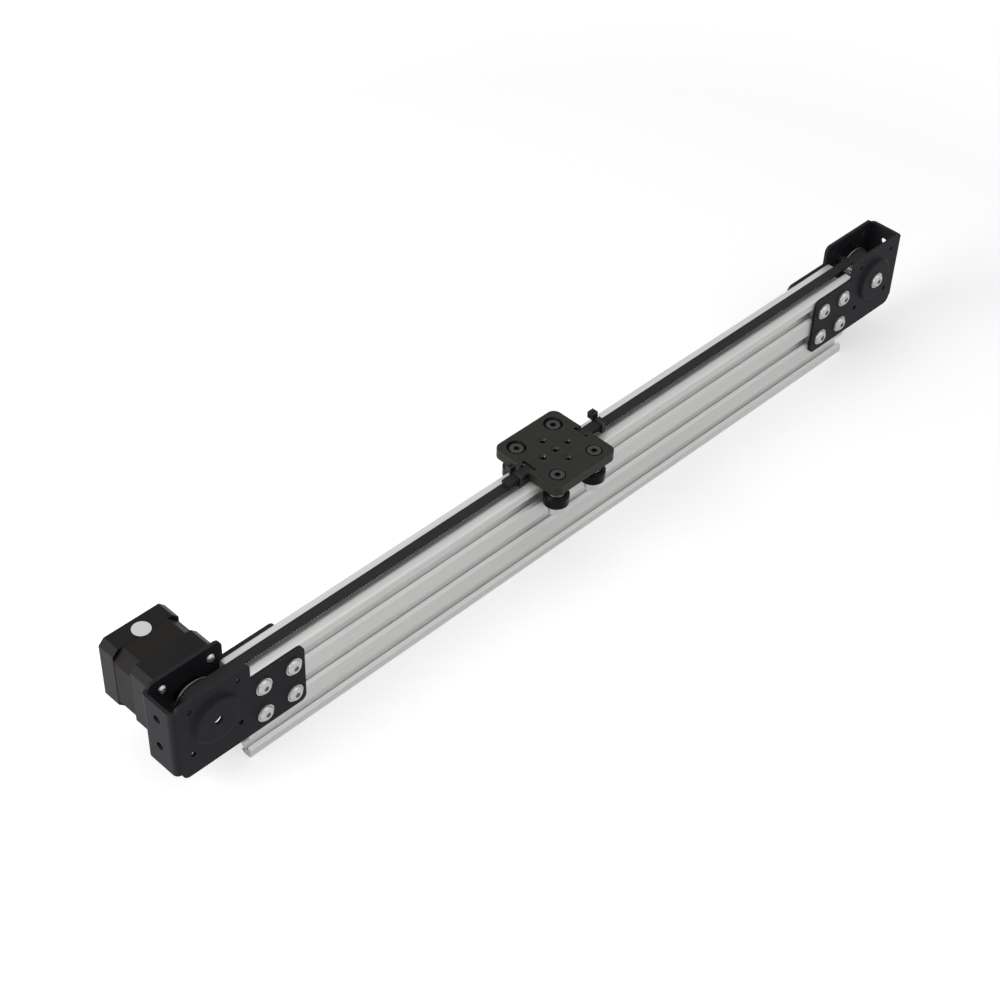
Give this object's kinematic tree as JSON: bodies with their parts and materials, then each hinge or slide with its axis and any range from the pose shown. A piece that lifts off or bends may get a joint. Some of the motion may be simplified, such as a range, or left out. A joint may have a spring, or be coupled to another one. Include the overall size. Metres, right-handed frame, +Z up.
{
  "type": "belt driven linear axis",
  "caption": "Belt driven linear axis: slotted aluminium rail, stepper motor and toothed pulley at one end, idler at the other, and a wheeled carriage tied to the belt.",
  "frame": {"origin": "middle of the rail's length and width, on its underside, in the mouth of the bottom slot", "axes": "+X along the rail from the motor end to the idler end, +Y across it towards the motor's body, +Z up through the carriage plate"},
  "size_m": [0.596, 0.0785, 0.073],
  "materials": {
    "anodised_rail": "satin anodised",
    "black_sheet": "satin powder coat",
    "bright_steel": "polished",
    "nut_steel": "plain",
    "motor_cap": "black anodised",
    "stator_steel": "laminated",
    "copper_winding": "enamelled",
    "shaft_steel": "ground",
    "black_screw": "black oxide",
    "connector_plastic": "plain",
    "pulley_aluminium": "machined",
    "belt_rubber": "matte",
    "plate_anodised": "black anodised, brushed",
    "tie_plastic": "moulded",
    "wheel_plastic": "turned",
    "low_head_steel": "plain"
  },
  "bodies": {
    "base": {"rail": "anodised_rail", "motor_bracket": "black_sheet", "idler_bracket": "black_sheet", "motor_bracket_screws": "bright_steel", "idler_bracket_screws": "bright_steel", "motor_end_nuts": "nut_steel", "idler_end_nuts": "nut_steel", "motor_front_cap": "motor_cap", "motor_stator": "stator_steel", "motor_windings": "copper_winding", "motor_rear_cap": "motor_cap", "motor_bearings": "shaft_steel", "motor_case_screws": "bright_steel", "motor_mounting_screws": "bright_steel", "motor_connector": "connector_plastic", "belt": "belt_rubber", "idler_spacers": "bright_steel", "idler_axle_screw": "bright_steel", "idler_axle_nut": "bright_steel"},
    "carriage": {"carriage_plate": "plate_anodised", "belt_loops": "belt_rubber", "belt_loop_pins": "nut_steel", "cable_ties": "tie_plastic", "wheel_bolts": "low_head_steel", "adjustable_wheel_bolts": "low_head_steel", "wheel_spacers": "motor_cap", "eccentric_spacers": "nut_steel", "wheel_shims": "shaft_steel", "wheel_lock_nuts": "bright_steel"},
    "drive": {"drive_pulley": "pulley_aluminium", "pulley_set_screws": "black_screw", "motor_shaft": "shaft_steel", "motor_rotor": "stator_steel"},
    "idler": {"idler_pulley": "pulley_aluminium", "idler_bearings": "shaft_steel"},
    "front_left_roller": {"front_left_wheel": "wheel_plastic", "front_left_bearings": "shaft_steel"},
    "front_right_roller": {"front_right_wheel": "wheel_plastic", "front_right_bearings": "shaft_steel"},
    "rear_left_roller": {"rear_left_wheel": "wheel_plastic", "rear_left_bearings": "shaft_steel"},
    "rear_right_roller": {"rear_right_wheel": "wheel_plastic", "rear_right_bearings": "shaft_steel"}
  },
  "joints": [
    {"name": "carriage_slide", "type": "slide", "parent": "base", "child": "carriage", "axis": [1, 0, 0], "range_m": [-0.175, 0.201]},
    {"name": "drive_spin", "type": "hinge", "parent": "base", "child": "drive", "pos_m": [-0.271, 0, 0.05], "axis": [0, 1, 0], "range_deg": [-800, 920]},
    {"name": "idler_spin", "type": "hinge", "parent": "base", "child": "idler", "pos_m": [0.271, 0, 0.05], "axis": [0, 1, 0], "range_deg": [-800, 920]},
    {"name": "front_left_spin", "type": "hinge", "parent": "carriage", "child": "front_left_roller", "pos_m": [-0.028, -0.01605, 0.05], "axis": [0, 0, 1], "range_deg": [-1490, 1710]},
    {"name": "front_right_spin", "type": "hinge", "parent": "carriage", "child": "front_right_roller", "pos_m": [0.002, -0.01605, 0.05], "axis": [0, 0, 1], "range_deg": [-1490, 1710]},
    {"name": "rear_left_spin", "type": "hinge", "parent": "carriage", "child": "rear_left_roller", "pos_m": [-0.028, 0.01605, 0.05], "axis": [0, 0, 1], "range_deg": [-1710, 1490]},
    {"name": "rear_right_spin", "type": "hinge", "parent": "carriage", "child": "rear_right_roller", "pos_m": [0.002, 0.01605, 0.05], "axis": [0, 0, 1], "range_deg": [-1710, 1490]}
  ],
  "couplings": [
    {"joint": "drive_spin", "follows": "carriage_slide", "rad_per_m": 78.54},
    {"joint": "idler_spin", "follows": "carriage_slide", "rad_per_m": 78.54},
    {"joint": "front_left_spin", "follows": "carriage_slide", "rad_per_m": 145.77},
    {"joint": "front_right_spin", "follows": "carriage_slide", "rad_per_m": 145.77},
    {"joint": "rear_left_spin", "follows": "carriage_slide", "rad_per_m": -145.77},
    {"joint": "rear_right_spin", "follows": "carriage_slide", "rad_per_m": -145.77}
  ]
}
